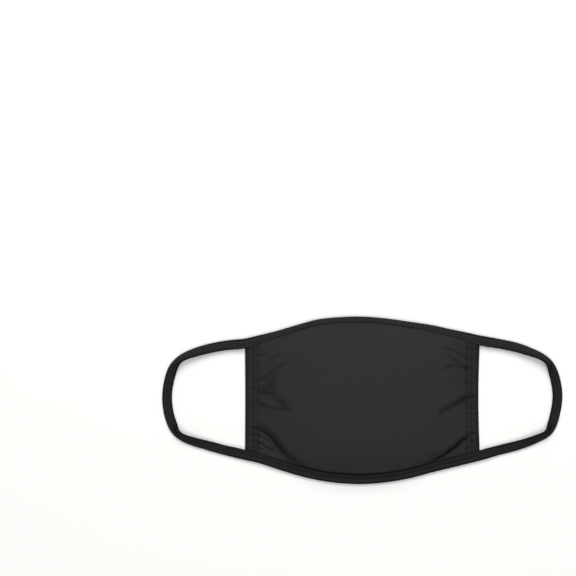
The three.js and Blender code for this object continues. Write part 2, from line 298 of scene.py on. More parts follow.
FOLDS = (
    # Left side, from the nose edge down
    Fold(points=((-82, 34.6), (-74, 41)), depth=0.5, width=0.8, roll_left=0.2, tail=4, shade=0.25),
    Fold(points=((-77, 32), (-61, 39.4)), depth=0.6, width=0.9, roll_left=0.25, lead=5, tail=5, shade=0.28),
    Fold(points=((-88, 13), (-80.2, 17), (-69.8, 25), (-57, 32.2)), depth=1.0, width=1.2,
         roll_left=0.55, tail=7, shade=0.28),
    Fold(points=((-68.5, 24), (-73, 14), (-73.5, 6), (-67, -1), (-57.5, -6.4)), depth=0.7, width=3.2,
         roll_left=0.4, roll_width=3.0, lead=6, tail=5, shade=0.2),
    Fold(points=((-88, 5.8), (-79, 6), (-71, 4.6)), depth=1.2, width=1.3, roll_right=0.4, roll_width=2.2,
         tail=5, shade=0.35),
    Fold(points=((-92, -1.2), (-84, -2.2), (-76.5, -5), (-66, -7), (-54, -8)), depth=1.2, width=0.9,
         roll_left=0.6, roll_right=0.35, roll_width=2.4, tail=6, shade=0.3),
    Fold(points=((-91, -22), (-83, -23.2), (-77, -25.8), (-72, -30.2), (-66, -37), (-58, -46)), depth=2.1,
         width=1.15, roll_left=1.3, roll_right=0.7, roll_width=2.8, tail=6, shade=0.5),
    Fold(points=((-84, -19), (-76, -21.8), (-69.8, -27.6), (-63.4, -35.8), (-55.4, -45), (-47, -51.2),
                 (-38, -54.6)),
         depth=0.5, width=2.3, lead=3, tail=14, shade=0.38),
    Fold(points=((-90, -27), (-82, -28.2), (-76, -31.5), (-71, -36.5)), depth=0.9, width=0.8,
         roll_right=0.4, tail=6, shade=0.3),
    Fold(points=((-92, -32.4), (-83.4, -33.4), (-77.8, -36.8), (-67, -41.6)), depth=1.3, width=0.9,
         roll_left=0.4, roll_right=0.7, roll_width=2.2, tail=7, shade=0.4),
    Fold(points=((-91, -37.5), (-83, -38.2), (-74, -42)), depth=0.7, width=0.7, roll_right=0.3, tail=5,
         shade=0.25),
    # Right side, from the nose edge down
    Fold(points=((59.8, 41), (67, 41.6), (73.4, 39.4), (86, 31.4)), depth=0.8, width=1.1, roll_left=0.4,
         lead=7, tail=3, shade=0.3),
    Fold(points=((67, 38), (74.2, 32.2), (86, 24.2)), depth=0.9, width=1.0, roll_left=0.45, lead=5, tail=3,
         shade=0.32),
    Fold(points=((60, 23), (68, 26.8), (74, 28), (86, 23)), depth=0.75, width=1.1, roll_left=0.45, lead=9,
         tail=3, shade=0.3),
    Fold(points=((76, 13), (81, 14.5), (88, 12)), depth=0.35, width=0.9, roll_right=0.3, lead=5, tail=3),
    Fold(points=((57, -12.5), (65, -8.4), (74.2, -3.2), (83, 1.2), (92, 5)), depth=2.0, width=2.8,
         roll_left=0.7, roll_right=0.5, roll_width=3.2, lead=8, tail=9, shade=0.33),
    Fold(points=((68, -6.4), (76, -2.4), (84, 1.4), (92, 4.6)), depth=0.9, width=0.9, lead=6, tail=3,
         shade=0.5),
    Fold(points=((55, -48), (60.6, -45), (68.6, -40.6), (74.2, -36.6), (82.2, -30.6), (86.2, -27.4),
                 (92, -25.3)),
         depth=2.1, width=1.15, roll_left=1.3, roll_right=0.6, roll_width=3.0, lead=10, tail=1, shade=0.5),
    Fold(points=((64, -43.4), (69, -40.2), (74.4, -36.2), (79, -32.6), (84.6, -28.6)), depth=0.9, width=1.7,
         lead=6, tail=4, shade=0.8),
    Fold(points=((48, -47), (60, -41), (70, -35.5), (79, -29), (87, -23)), depth=0.3, width=1.9, lead=10,
         tail=4, shade=0.24),
    Fold(points=((72, -39.5), (81.3, -34.5), (92, -32)), depth=1.0, width=0.75, roll_right=0.5,
         roll_width=1.8, lead=5, tail=1, shade=0.3),
    Fold(points=((70, -42.5), (80.4, -38.8), (92, -36.2)), depth=0.9, width=0.7, roll_right=0.4,
         roll_width=1.8, lead=5, tail=1, shade=0.3),
    Fold(points=((66, -46.8), (78, -42.6), (92, -39.4)), depth=0.8, width=0.7, roll_right=0.35,
         roll_width=1.8, lead=5, tail=1, shade=0.3),
)


@dataclass(frozen=True)
class Lump:
    """A soft rise or dip of the cloth between creases, in millimetres.

    It has a middle, half lengths, a turn in degrees, a height, which is below 0 in a dip, and a painted shade
    from 0 to 1 for its hollow.
    """

    x: float
    y: float
    long: float
    short: float
    turn: float
    height: float
    shade: float = 0.0

    def press(self, x: np.ndarray, y: np.ndarray, lift: np.ndarray, shade: np.ndarray) -> None:
        """Raise the cloth, or let it sink where the height is below 0.

        Args:
            x: Places across the mask.
            y: Places along it.
            lift: The cloth's lift at those places, which is changed.
            shade: The cloth's painted shade there, which is changed.
        """
        turn = math.radians(self.turn)
        dx, dy = x - self.x, y - self.y
        along = (dx * math.cos(turn) + dy * math.sin(turn)) / self.long
        across = (-dx * math.sin(turn) + dy * math.cos(turn)) / self.short
        swell = np.exp(-(along**2 + across**2))
        lift += self.height * swell
        np.maximum(shade, self.shade * swell, out=shade)


LUMPS = (
    Lump(x=-78.5, y=-0.2, long=6, short=2.2, turn=-14, height=1.2),
    Lump(x=-78, y=-29.0, long=6, short=1.8, turn=-24, height=0.7),
    Lump(x=-69, y=-43.5, long=11, short=2.8, turn=-27, height=0.8),
    Lump(x=-75.5, y=10.5, long=8.5, short=3.6, turn=47, height=-1.2, shade=0.34),
    Lump(x=-72.5, y=6.0, long=4.5, short=3.0, turn=0, height=-0.4, shade=0.3),
    Lump(x=-64.5, y=-2.2, long=8, short=3.2, turn=-38, height=-0.7, shade=0.36),
    Lump(x=78, y=8, long=8, short=5, turn=15, height=0.5),
    Lump(x=74, y=-14, long=9, short=5, turn=30, height=0.6),
    Lump(x=52, y=50, long=10, short=6, turn=-20, height=-0.3),
)

# Where the dome folds over the flat lower corners, in millimetres: the shadow lines from the hems to the tape
LEFT_APRON = ((-95, -22.2), (-83.4, -23.6), (-77, -25.9), (-72.2, -30.4), (-68.2, -35), (-61.8, -42.6),
              (-52.2, -50.2), (-44, -54.6))
RIGHT_APRON = ((38, -55.6), (46.2, -52.6), (60.6, -45), (68.6, -40.6), (74.2, -36.6), (82.2, -30.6),
               (86.2, -27.4), (95, -25))


# The mask's form


@dataclass
class MaskForm:
    """The lie of the cloth's middle layer, in millimetres, worked out from the frame's sizes.

    The runs, rises and crowns shape the dome's curve from each edge to its crown, as shares of the way.
    Folds fade out over seam_fade, a share of a section, and over hem_band beside the panel's ends, where
    hem_calm is the share that the hem takes away. hem_fade is the share of the painted crease shade that
    the left and the right hem lose. The foot is where the dome meets the chin tape: foot_line and foot_band
    count in rows, and foot_shades are the painted shade of its shut line and of the soft band over it.
    gather_shade paints shade into the gathers' valleys, and darkest caps the painted shade.
    """

    mask_half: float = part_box("nose_edge_binding")[1].y / MM
    panel_half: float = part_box("side_hem_right")[1].x / MM
    dome_rise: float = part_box("face_panel")[1].z / MM - 0.5
    reach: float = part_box("ear_loop_right")[1].x / MM
    nose_side: float = 50.8
    chin_side: float = 47.2
    side_half: float = 49.0
    tape_outside: float = 1.55
    tape_leg: float = 5.55
    tape_gap: float = 1.2
    chin_gap: float = 2.0
    curve_points: int = 60
    crown_at: float = -0.06
    chin_run: float = 0.02
    chin_rise: float = 0.7
    chin_crown: float = 0.6
    nose_run: float = 0.17
    nose_rise: float = 0.6
    nose_crown: float = 0.5
    apron_height: float = 3.0
    apron_wall: float = 2.0
    apron_blend: float = 14.0
    side_pull: tuple[float, float] = (0.2, 1.0)
    side_pull_power: int = 9
    seam_fade: float = 0.035
    hem_band: float = 12.0
    hem_hold: float = 8.0
    hem_calm: float = 0.6
    hem_fade: tuple[float, float] = (0.65, 0.0)
    lowest: float = 1.15
    lowest_inside: float = 1.75
    floor_turn: float = 3.0
    darkest: float = 0.9
    gather_shade: float = 0.5
    gather_depths: tuple[float, float] = (0.1, 0.4)
    foot_line: float = 1.3
    foot_band: float = 7.0
    foot_middle: tuple[float, float] = (44.0, 66.0)
    foot_shades: tuple[float, float, float] = (0.15, 0.45, 0.11)
    pucker: float = 0.44
    pucker_pitch: float = 5.2
    pucker_reach: float = 6.5
    pucker_slant: float = 0.168
    pucker_start: float = 9.0
    pucker_sway: float = 1.3
    pucker_sway_run: float = 9.0
    pucker_crown: float = -6.0

    def table(self, column: str, x: np.ndarray) -> np.ndarray:
        """Read a column of the sections' table.

        Args:
            column: Its name.
            x: Places across the mask, in millimetres.

        Returns:
            The column's values there.
        """
        stops = np.array([row.at for row in SECTIONS])
        values = np.array([float(getattr(row, column)) for row in SECTIONS])
        return read_column(stops, values, np.asarray(x, float) / self.panel_half)

    def edge_line(self, edge: Edge, x: float) -> tuple[np.ndarray, np.ndarray]:
        """The panel's edge at a place across the mask.

        Args:
            edge: Which long edge.
            x: The place, in millimetres.

        Returns:
            The edge's point and the unit way from it into the panel.
        """
        if edge is Edge.NOSE:
            out, side, column = self.nose_side, 1, "nose"
        else:
            out, side, column = self.chin_side, -1, "chin"
        arch = float(self.table(column, x)) * (self.mask_half - out)
        tilt = math.radians(float(self.table(column + "_tilt", x)))
        point = np.array([x, side * (out + arch - self.tape_outside), self.tape_outside])
        return point, np.array([0.0, -side * math.cos(tilt), math.sin(tilt)])

    def column(self, x: float, edge_rows: int, dome_rows: int) -> np.ndarray:
        """One section of the plain dome, from the chin edge to the nose edge.

        Args:
            x: Its place across the mask.
            edge_rows: Rows inside the tape, at each end.
            dome_rows: Rows between the tapes.

        Returns:
            The section's points.
        """
        margin = self.tape_leg + self.tape_gap
        chin_margin = self.tape_leg + self.chin_gap
        chin, chin_way = self.edge_line(Edge.CHIN, x)
        nose, nose_way = self.edge_line(Edge.NOSE, x)
        chin_end, nose_end = chin + chin_way * chin_margin, nose + nose_way * margin
        crown = np.array([x, self.crown_at * self.mask_half, float(self.table("rise", x)) * self.dome_rise])

        def shoulder(end: np.ndarray, run: float, rise: float) -> np.ndarray:
            """The control point over an end of the dome."""
            return end + (crown - end) * (0, run, rise)

        def beside(end: np.ndarray, share: float) -> np.ndarray:
            """The control point level with the crown."""
            return crown + (end - crown) * (0, share, 0)

        lower = bezier((chin_end, shoulder(chin_end, self.chin_run, self.chin_rise),
                        beside(chin_end, self.chin_crown), crown), self.curve_points)
        upper = bezier((crown, beside(nose_end, self.nose_crown),
                        shoulder(nose_end, self.nose_run, self.nose_rise), nose_end), self.curve_points)
        dome = even_curve(np.vstack([lower, upper[1:]]), dome_rows)
        shares = np.linspace(0, 1, edge_rows, endpoint=False)[:, None]
        chin_leg, nose_leg = chin + chin_way * chin_margin * shares, nose + nose_way * margin * shares
        return np.vstack([chin_leg, dome, nose_leg[::-1]])

    def lattice(self, xs: np.ndarray, edge_rows: int, dome_rows: int) -> tuple[np.ndarray, np.ndarray]:
        """The cloth's middle layer with its folds, and its painted shade in shut creases, gathers and the
        foot.

        Args:
            xs: Places across the mask.
            edge_rows: Rows inside the tape, at each end.
            dome_rows: Rows between the tapes.

        Returns:
            Points as an array of columns, rows and three coordinates, and a painted shade from 0 to 1 for
            each.
        """
        grid = np.stack([self.column(float(x), edge_rows, dome_rows) for x in xs])
        rows = np.arange(grid.shape[1])
        share = np.clip((rows - edge_rows) / (dome_rows - 1), 0, 1)[None, :]
        clear = smoothstep(0, self.seam_fade, share * (1 - share))
        x, y, z = grid[..., 0], grid[..., 1], grid[..., 2]
        grid[..., 2] = self.aprons(x, y, z, clear)
        normals = lattice_normals(grid)
        folds, shade = self.creases(x, y)
        gathers = self.puckers(x, y)
        first, most = self.gather_depths
        # Painted shade in the gathers' valleys
        shade = shade + self.gather_shade * np.clip(-gathers - first, 0, most)
        from_end = self.panel_half - np.abs(x)
        in_hem = 1 - smoothstep(0, self.hem_band, from_end)
        held = 1 - smoothstep(self.hem_hold, self.hem_band, from_end)
        lift = (folds + gathers) * clear * (1 - self.hem_calm * in_hem)
        # The hems take away part of the painted crease shade
        shade = shade * (1 - np.where(x < 0, *self.hem_fade) * held)
        grid = grid + normals * lift[..., None]
        near_end = np.abs(x / self.panel_half) ** self.side_pull_power
        pull = np.where(x < 0, -self.side_pull[0], self.side_pull[1]) * near_end
        grid[..., 0] -= pull * np.sin(math.pi * share)
        floor = self.lowest + (self.lowest_inside - self.lowest) * (1 - in_hem)
        grid[..., 2] = floor + np.logaddexp(0, (grid[..., 2] - floor) * self.floor_turn) / self.floor_turn
        return grid, np.clip(shade + self.foot_shade(x, rows - edge_rows), 0, self.darkest)

    def foot_shade(self, x: np.ndarray, from_foot: np.ndarray) -> np.ndarray:
        """The painted shade where the dome meets the chin tape: a shut line, and a soft band over it in the
        middle.

        Args:
            x: Places across the mask.
            from_foot: Each row's count from the dome's first row.

        Returns:
            The painted shade at each place.
        """
        from_foot = np.where(from_foot < 0, 0.9 * from_foot, from_foot)[None, :]
        middle = 1 - smoothstep(*self.foot_middle, np.abs(x))
        everywhere, under_dome, band = self.foot_shades
        line = bell(from_foot, 0, self.foot_line) * (everywhere + under_dome * middle)
        return line + band * middle * bell(from_foot, 0, self.foot_band)

    def aprons(self, x: np.ndarray, y: np.ndarray, z: np.ndarray, clear: np.ndarray) -> np.ndarray:
        """Heights with the flat lower corners, which the dome folds over.

        Args:
            x: Places across.
            y: Places along.
            z: Heights of the plain dome.
            clear: 0 inside the tape and 1 away from it.

        Returns:
            The new heights.
        """
        height = z.copy()
        for line, side in ((LEFT_APRON, -1), (RIGHT_APRON, 1)):
            line_x = np.array([p[0] for p in line], float)
            line_y = np.array([p[1] for p in line], float)
            slope = np.gradient(line_y, line_x)
            over = (y - read_column(line_x, line_y, x)) / np.hypot(1, read_column(line_x, slope, x))
            inner = line_x[-1] if side < 0 else line_x[0]
            weight = smoothstep(0, self.apron_blend, side * (x - inner)) * clear
            low = np.minimum(self.apron_height, z)
            wall = 1 - np.exp(-np.clip(over, 0, None) / self.apron_wall)
            height += weight * ((low + (z - low) * wall) - z)
        return height

    def creases(self, x: np.ndarray, y: np.ndarray) -> tuple[np.ndarray, np.ndarray]:
        """How far the creases and lumps lift the cloth, and the painted shade of the creases' cores and dips.

        Args:
            x: Places across.
            y: Places along.

        Returns:
            The lift at each place, in millimetres, and the painted shade, from 0 to 1.
        """
        lift, shade = np.zeros_like(x), np.zeros_like(x)
        for fold in (*FOLDS, *LUMPS):
            fold.press(x, y, lift, shade)
        return lift, shade

    def puckers(self, x: np.ndarray, y: np.ndarray) -> np.ndarray:
        """The small gathers that the hems' stitching makes, which die out in the panel.

        Args:
            x: Places across.
            y: Places along.

        Returns:
            The lift at each place, in millimetres.
        """
        side = np.sign(x)
        inwards = np.clip(self.panel_half - self.pucker_start - np.abs(x), 0, None)
        sway = self.pucker_sway * np.sin(y / self.pucker_sway_run + side)
        phase = 2 * math.pi * (y + sway) / self.pucker_pitch
        slant = self.pucker_slant * inwards * np.sign(y - self.pucker_crown) * side
        wave = (0.7 * np.sin(phase + slant) + 0.55 * np.sin(0.57 * phase + 1.7 * side)
                + 0.35 * np.sin(1.73 * phase + 2.3 * side))
        return self.pucker * wave * np.exp(-inwards / self.pucker_reach)


# Finishes


def linear(colour: str) -> tuple[float, float, float, float]:
    """Turn an sRGB hex colour into a linear one.

    Args:
        colour: Six hex digits.

    Returns:
        Red, green, blue and alpha.
    """
    parts = [int(colour[k:k + 2], 16) / 255 for k in (0, 2, 4)]
    return (*[p / 12.92 if p <= 0.04045 else ((p + 0.055) / 1.055) ** 2.4 for p in parts], 1.0)


def add_node(tree: bpy.types.NodeTree, kind: str, settings: dict | None = None,
             **links: object) -> bpy.types.Node:
    """Add a shader node with its settings and links.

    Args:
        tree: The node tree.
        kind: The node's type.
        settings: Its properties by name, and its sockets' values by name or number.
        **links: Sockets or values for its inputs; an underscore stands for a space and in0 for the first.

    Returns:
        The node.
    """
    node = tree.nodes.new(kind)
    for name, value in (settings or {}).items():
        if isinstance(name, str) and hasattr(node, name):
            setattr(node, name, value)
        else:
            node.inputs[name].default_value = value
    for name, source in links.items():
        socket = node.inputs[int(name[2:])] if name.startswith("in") else node.inputs[name.replace("_", " ")]
        if isinstance(source, bpy.types.NodeSocket):
            tree.links.new(source, socket)
        else:
            socket.default_value = source
    return node


def start_material(name: str) -> tuple[bpy.types.Material, bpy.types.NodeTree]:
    """Make a material with an empty node tree.

    Args:
        name: The material's name.

    Returns:
        The material and its tree.
    """
    material = bpy.data.materials.new(name)
    material.use_nodes = True
    material.node_tree.nodes.clear()
    return material, material.node_tree


def fill_ramp(ramp: bpy.types.Node, stops: Sequence[tuple[float, str]]) -> None:
    """Give a colour ramp its stops.

    Args:
        ramp: The ramp's node.
        stops: Places from 0 to 1, each with an sRGB hex colour.
    """
    elements = ramp.color_ramp.elements
    while len(elements) < len(stops):
        elements.new(0.5)
    for element, (place, colour) in zip(elements, stops):
        element.position = place
        element.color = linear(colour)


@dataclass(frozen=True)
class CottonJersey:
    """Single jersey knitted of black cotton.

    It is matt and soft, with fine upright wales of V-shaped loops, a faint bloom of loose fibres at grazing
    angles, and a slight unevenness of the dye.

    The UV map is in millimetres of cloth: U across the wales and V along them.
    """

    name: str
    deep: str
    middle: str
    light: str
    # A real jersey's wales stand 0.7 to 0.8 mm apart. At 1.1 mm they show in the render.
    wale_pitch: float = 1.1
    course_pitch: float = 0.85
    knit_bump: float = 0.16
    roughness: float = 0.92
    sheen: float = 0.03

    def build(self) -> bpy.types.Material:
        """Make the material.

        Returns:
            The material.
        """
        material, tree = start_material(self.name)
        cloth = add_node(tree, "ShaderNodeUVMap", {"uv_map": "cloth"})
        place = add_node(tree, "ShaderNodeTexCoord").outputs["Object"]
        split = add_node(tree, "ShaderNodeSeparateXYZ", in0=cloth.outputs[0])

        def maths(operation: str, *values: object) -> bpy.types.NodeSocket:
            """One step of arithmetic on sockets and numbers, as a socket."""
            sockets = {f"in{k}": value for k, value in enumerate(values)}
            return add_node(tree, "ShaderNodeMath", {"operation": operation}, **sockets).outputs[0]

        # Wales: rows of rounded ribs; in each, the two legs of every loop slant up to the rib's middle
        across = maths("DIVIDE", split.outputs[0], self.wale_pitch)
        from_middle = maths("ABSOLUTE", maths("SUBTRACT", maths("FRACT", across), 0.5))
        rib = maths("COSINE", maths("MULTIPLY", from_middle, math.pi))
        along = maths("DIVIDE", split.outputs[1], self.course_pitch)
        slanted = maths("ADD", along, maths("MULTIPLY", from_middle, 1.5))
        leg = maths("ABSOLUTE", maths("SINE", maths("MULTIPLY", slanted, math.pi)))
        knit = maths("MULTIPLY", rib, maths("ADD", 0.45, maths("MULTIPLY", leg, 0.55)))
        fuzz = add_node(tree, "ShaderNodeTexNoise", {"Scale": 2600.0, "Detail": 3.0, "Roughness": 0.6},
                        Vector=place)
        height = maths("ADD", knit, maths("MULTIPLY", fuzz.outputs[0], 0.35))

        # Dye: broad soft patches, with fine fibre flecks over them
        patches = add_node(tree, "ShaderNodeTexNoise", {"Scale": 55.0, "Detail": 4.0, "Roughness": 0.55},
                           Vector=place)
        flecks = add_node(tree, "ShaderNodeTexNoise", {"Scale": 1500.0, "Detail": 2.0}, Vector=place)
        tone = maths("ADD", maths("MULTIPLY", patches.outputs[0], 0.3),
                     maths("MULTIPLY", flecks.outputs[0], 0.7))
        ramp = add_node(tree, "ShaderNodeValToRGB", in0=tone)
        fill_ramp(ramp, ((0.32, self.deep), (0.5, self.middle), (0.7, self.light)))
        # The gaps between the loops hold shade that the eye sees as darker points
        gaps = add_node(tree, "ShaderNodeMapRange", {"From Min": 0.0, "From Max": 0.55, "To Min": 0.8,
                                                     "To Max": 1.0}, Value=knit)
        # Painted shade: the mesh's shade attribute darkens shut creases, the dents under stitches, turned
        # rims and tucks, where shade falls; below 0 it is painted light, which makes the tape paler where it
        # faces the light or lies in the dome's shadow
        shut = add_node(tree, "ShaderNodeAttribute", {"attribute_name": "shade"})
        open_share = maths("SUBTRACT", 1.0, shut.outputs["Fac"])
        shaded = add_node(tree, "ShaderNodeMix", {"data_type": "RGBA", "blend_type": "MULTIPLY"})
        shaded.inputs[0].default_value = 1.0
        tree.links.new(ramp.outputs[0], shaded.inputs[6])
        tree.links.new(maths("MULTIPLY", gaps.outputs[0], open_share), shaded.inputs[7])
        bump = add_node(tree, "ShaderNodeBump", {"Strength": self.knit_bump, "Distance": 0.0004},
                        Height=height)
        rough = add_node(tree, "ShaderNodeMapRange", {"From Min": 0.3, "From Max": 0.7,
                                                      "To Min": self.roughness - 0.05,
                                                      "To Max": self.roughness + 0.04},
                         Value=patches.outputs[0])
        shader = add_node(tree, "ShaderNodeBsdfPrincipled",
                          {"Specular IOR Level": 0.08, "IOR": 1.53, "Sheen Weight": self.sheen,
                           "Sheen Roughness": 0.55, "Sheen Tint": linear("C8C8C4")},
                          Base_Color=shaded.outputs[2], Roughness=rough.outputs[0], Normal=bump.outputs[0])
        add_node(tree, "ShaderNodeOutputMaterial", Surface=shader.outputs[0])
        return material


@dataclass(frozen=True)
class SpunPolyester:
    """Spun polyester sewing thread: two plies twisted to a round cord, a little smoother and darker than the
    cloth, so the rows read as fine dark dashes."""

    name: str = "black_spun_polyester_thread"
    colour: str = "151515"
    light: str = "20201F"
    twist_scale: float = 1400.0
    roughness: float = 0.62

    def build(self) -> bpy.types.Material:
        """Make the material.

        Returns:
            The material.
        """
        material, tree = start_material(self.name)
        place = add_node(tree, "ShaderNodeTexCoord").outputs["Object"]
        twist = add_node(tree, "ShaderNodeTexWave", {"Scale": self.twist_scale, "Distortion": 1.5},
                         Vector=place)
        ramp = add_node(tree, "ShaderNodeValToRGB", in0=twist.outputs[0])
        fill_ramp(ramp, ((0.2, self.colour), (0.9, self.light)))
        bump = add_node(tree, "ShaderNodeBump", {"Strength": 0.3, "Distance": 0.00008},
                        Height=twist.outputs[0])
        shader = add_node(tree, "ShaderNodeBsdfPrincipled",
                          {"Roughness": self.roughness, "Specular IOR Level": 0.35, "IOR": 1.57},
                          Base_Color=ramp.outputs[0], Normal=bump.outputs[0])
        add_node(tree, "ShaderNodeOutputMaterial", Surface=shader.outputs[0])
        return material


@dataclass(frozen=True)
class MattLaminate:
    """A matt white laminate table top: even and slightly warm, with no pattern that shows."""

    name: str = "matt_white_laminate"
    colour: str = "F8F8F6"
    roughness: float = 0.85

    def build(self) -> bpy.types.Material:
        """Make the material.

        Returns:
            The material.
        """
        material, tree = start_material(self.name)
        shader = add_node(tree, "ShaderNodeBsdfPrincipled",
                          {"Base Color": linear(self.colour), "Roughness": self.roughness,
                           "Specular IOR Level": 0.2})
        add_node(tree, "ShaderNodeOutputMaterial", Surface=shader.outputs[0])
        return material


@dataclass
class Finishes:
    """The finishes of the mask, made once."""

    panel: bpy.types.Material = field(default_factory=lambda: CottonJersey(
        "black_cotton_jersey_panel", deep="2B2B2A", middle="2E2E2D", light="31312F").build())
    hem: bpy.types.Material = field(default_factory=lambda: CottonJersey(
        "black_cotton_jersey_hem", deep="262625", middle="2A2A29", light="2E2E2D").build())
    tape: bpy.types.Material = field(default_factory=lambda: CottonJersey(
        "black_cotton_jersey_tape", deep="1F1F1F", middle="242424", light="2A2A29",
        wale_pitch=1.0, course_pitch=0.8).build())
    thread: bpy.types.Material = field(default_factory=lambda: SpunPolyester().build())


# Cloth and thread


def finish_piece(mesh: bmesh.types.BMesh, name: str, material: bpy.types.Material) -> bpy.types.Object:
    """Turn a finished mesh into a smooth object of the scene.

    Args:
        mesh: The mesh, which is freed.
        name: The piece's name.
        material: Its finish.

    Returns:
        The object.
    """
    data = bpy.data.meshes.new(name)
    mesh.to_mesh(data)
    mesh.free()
    data.shade_smooth()
    data.materials.append(material)
    piece = bpy.data.objects.new(name, data)
    bpy.context.scene.collection.objects.link(piece)
    return piece


def cloth_piece(name: str, lattice: np.ndarray, uv: np.ndarray, shade: np.ndarray, thickness: float,
                material: bpy.types.Material, closed: bool = False,
                relax: int = 0) -> bpy.types.Object:
    """Lay a sheet of cloth on a lattice of points and give it its thickness.

    Args:
        name: The piece's name.
        lattice: The middle layer's points in millimetres, an array of columns and rows.
        uv: The cloth's own coordinates in millimetres, for each point.
        shade: The painted shade at each point, from 0 to 1, in shut creases, dents and turned rims, or below
            0 where painted light makes it paler.
        thickness: The cloth's thickness in millimetres.
        material: Its finish.
        closed: Whether the last column meets the first, as on a ring.
        relax: Rounds of smoothing.

    Returns:
        The finished object.
    """
    columns, rows = lattice.shape[:2]
    mesh = bmesh.new()
    bmesh.ops.create_grid(mesh, x_segments=columns - 1, y_segments=rows - 1, size=1.0)
    layer = mesh.loops.layers.uv.new("cloth")
    dark = mesh.verts.layers.float.new("shade")
    place = {}
    for vertex in mesh.verts:
        i = round((vertex.co.x + 1) / 2 * (columns - 1))
        j = round((vertex.co.y + 1) / 2 * (rows - 1))
        place[vertex] = (i, j)
    for face in mesh.faces:
        for loop in face.loops:
            loop[layer].uv = uv[place[loop.vert]]
    for vertex, (i, j) in place.items():
        vertex.co = Vector(lattice[i, j]) * MM
        vertex[dark] = float(shade[i, j])
    if closed:
        bmesh.ops.remove_doubles(mesh, verts=mesh.verts, dist=WELD)
    for _ in range(relax):
        bmesh.ops.smooth_vert(mesh, verts=[v for v in mesh.verts if not v.is_boundary], factor=0.5,
                              use_axis_x=True, use_axis_y=True, use_axis_z=True)
    bmesh.ops.recalc_face_normals(mesh, faces=mesh.faces)
    piece = finish_piece(mesh, name, material)
    wall = piece.modifiers.new("cloth thickness", "SOLIDIFY")
    wall.thickness = thickness * MM
    wall.offset = 0.0
    wall.use_even_offset = False
    return piece


@dataclass
class StitchRow:
    """A lockstitch row: short threads that dip into the cloth at each end, in millimetres."""

    pitch: float = 2.5
    length: float = 2.0
    radius: float = 0.2
    sunk: float = 0.1
    segments: int = 6
    rings: int = 5
    batch: int = 12

    def sew(self, whole: bmesh.types.BMesh, line: np.ndarray, normals: np.ndarray) -> int:
        """Sew one row into a mesh, a few stitches at a time.

        Args:
            whole: The mesh that takes the threads.
            line: Points along the row, on the cloth's face.
            normals: The face's outward normals there.

        Returns:
            The number of stitches.
        """
        run = run_along(line)
        count = int(run[-1] / self.pitch)
        batch = bpy.data.meshes.new("stitches")
        mesh = bmesh.new()
        for k in range(count):
            at = (k + 0.5) * run[-1] / count
            ends = [np.array([np.interp(at + s * self.length / 2, run, line[:, c]) for c in range(3)])
                    for s in (-1, 0, 1)]
            normal = Vector([float(np.interp(at, run, normals[:, c])) for c in range(3)]).normalized()
            way = Vector(ends[2] - ends[0])
            if way.length < 0.5 * self.length:
                continue
            way.normalize()
            across = normal.cross(way).normalized()
            normal = way.cross(across).normalized()
            centre = (Vector(ends[1]) + normal * (self.radius - self.sunk) * 0.5) * MM
            turn = Matrix((way, across, normal)).transposed().to_4x4()
            shape = Matrix.Diagonal((self.length / 2 * MM, self.radius * MM, self.radius * MM, 1.0))
            tip = Matrix.Rotation(math.pi / 2, 4, "Y")
            bmesh.ops.create_uvsphere(mesh, u_segments=self.segments, v_segments=self.rings, radius=1.0,
                                      matrix=Matrix.Translation(centre) @ turn @ shape @ tip)
            if k % self.batch == self.batch - 1 or k == count - 1:
                mesh.to_mesh(batch)
                whole.from_mesh(batch)
                mesh.clear()
        mesh.free()
        bpy.data.meshes.remove(batch)
        return count

    def piece(self, name: str, rows: Sequence[tuple[np.ndarray, np.ndarray]], material: bpy.types.Material,
              slot: str) -> bpy.types.Object:
        """Make one piece of several rows.

        Args:
            name: The piece's name.
            rows: Lines with their normals.
            material: The thread's finish.
            slot: Not used.

        Returns:
            The finished object.
        """
        mesh = bmesh.new()
        count = sum(self.sew(mesh, line, normals) for line, normals in rows)
        piece = finish_piece(mesh, name, material)
        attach(piece, "root")
        log.info("%s: %d stitches", name, count)
        return piece


@dataclass
class FacePanel:
    """The domed front, two plies of jersey sewn as one."""

    form: MaskForm
    finishes: Finishes
    thickness: float = 1.0
    columns: int = 236
    dome_rows: int = 146
    edge_rows: int = 8
    hem_seam: float = 11.0
    under_hem: float = 3.0
    dip: float = 1.0

    def build(self) -> bpy.types.Object:
        """Build the panel.

        Returns:
            The finished object.
        """
        seam = self.form.panel_half - self.hem_seam
        half = seam + self.under_hem
        xs = np.linspace(-half, half, self.columns)
        grid, shade = self.form.lattice(xs, self.edge_rows, self.dome_rows)
        sunk = self.dip * smoothstep(seam - 0.6, seam + 1.0, np.abs(xs))
        grid[..., 2] -= np.minimum(sunk[:, None], np.clip(grid[..., 2] - 0.6, 0, None))
        run = np.stack([run_along(column) for column in grid])
        middle = run[:, grid.shape[1] // 2][:, None]
        uv = np.stack([np.broadcast_to(xs[:, None], run.shape), run - middle], axis=2)
        return cloth_piece("face_panel_cloth", grid, uv, shade, self.thickness, self.finishes.panel,
                           relax=1)


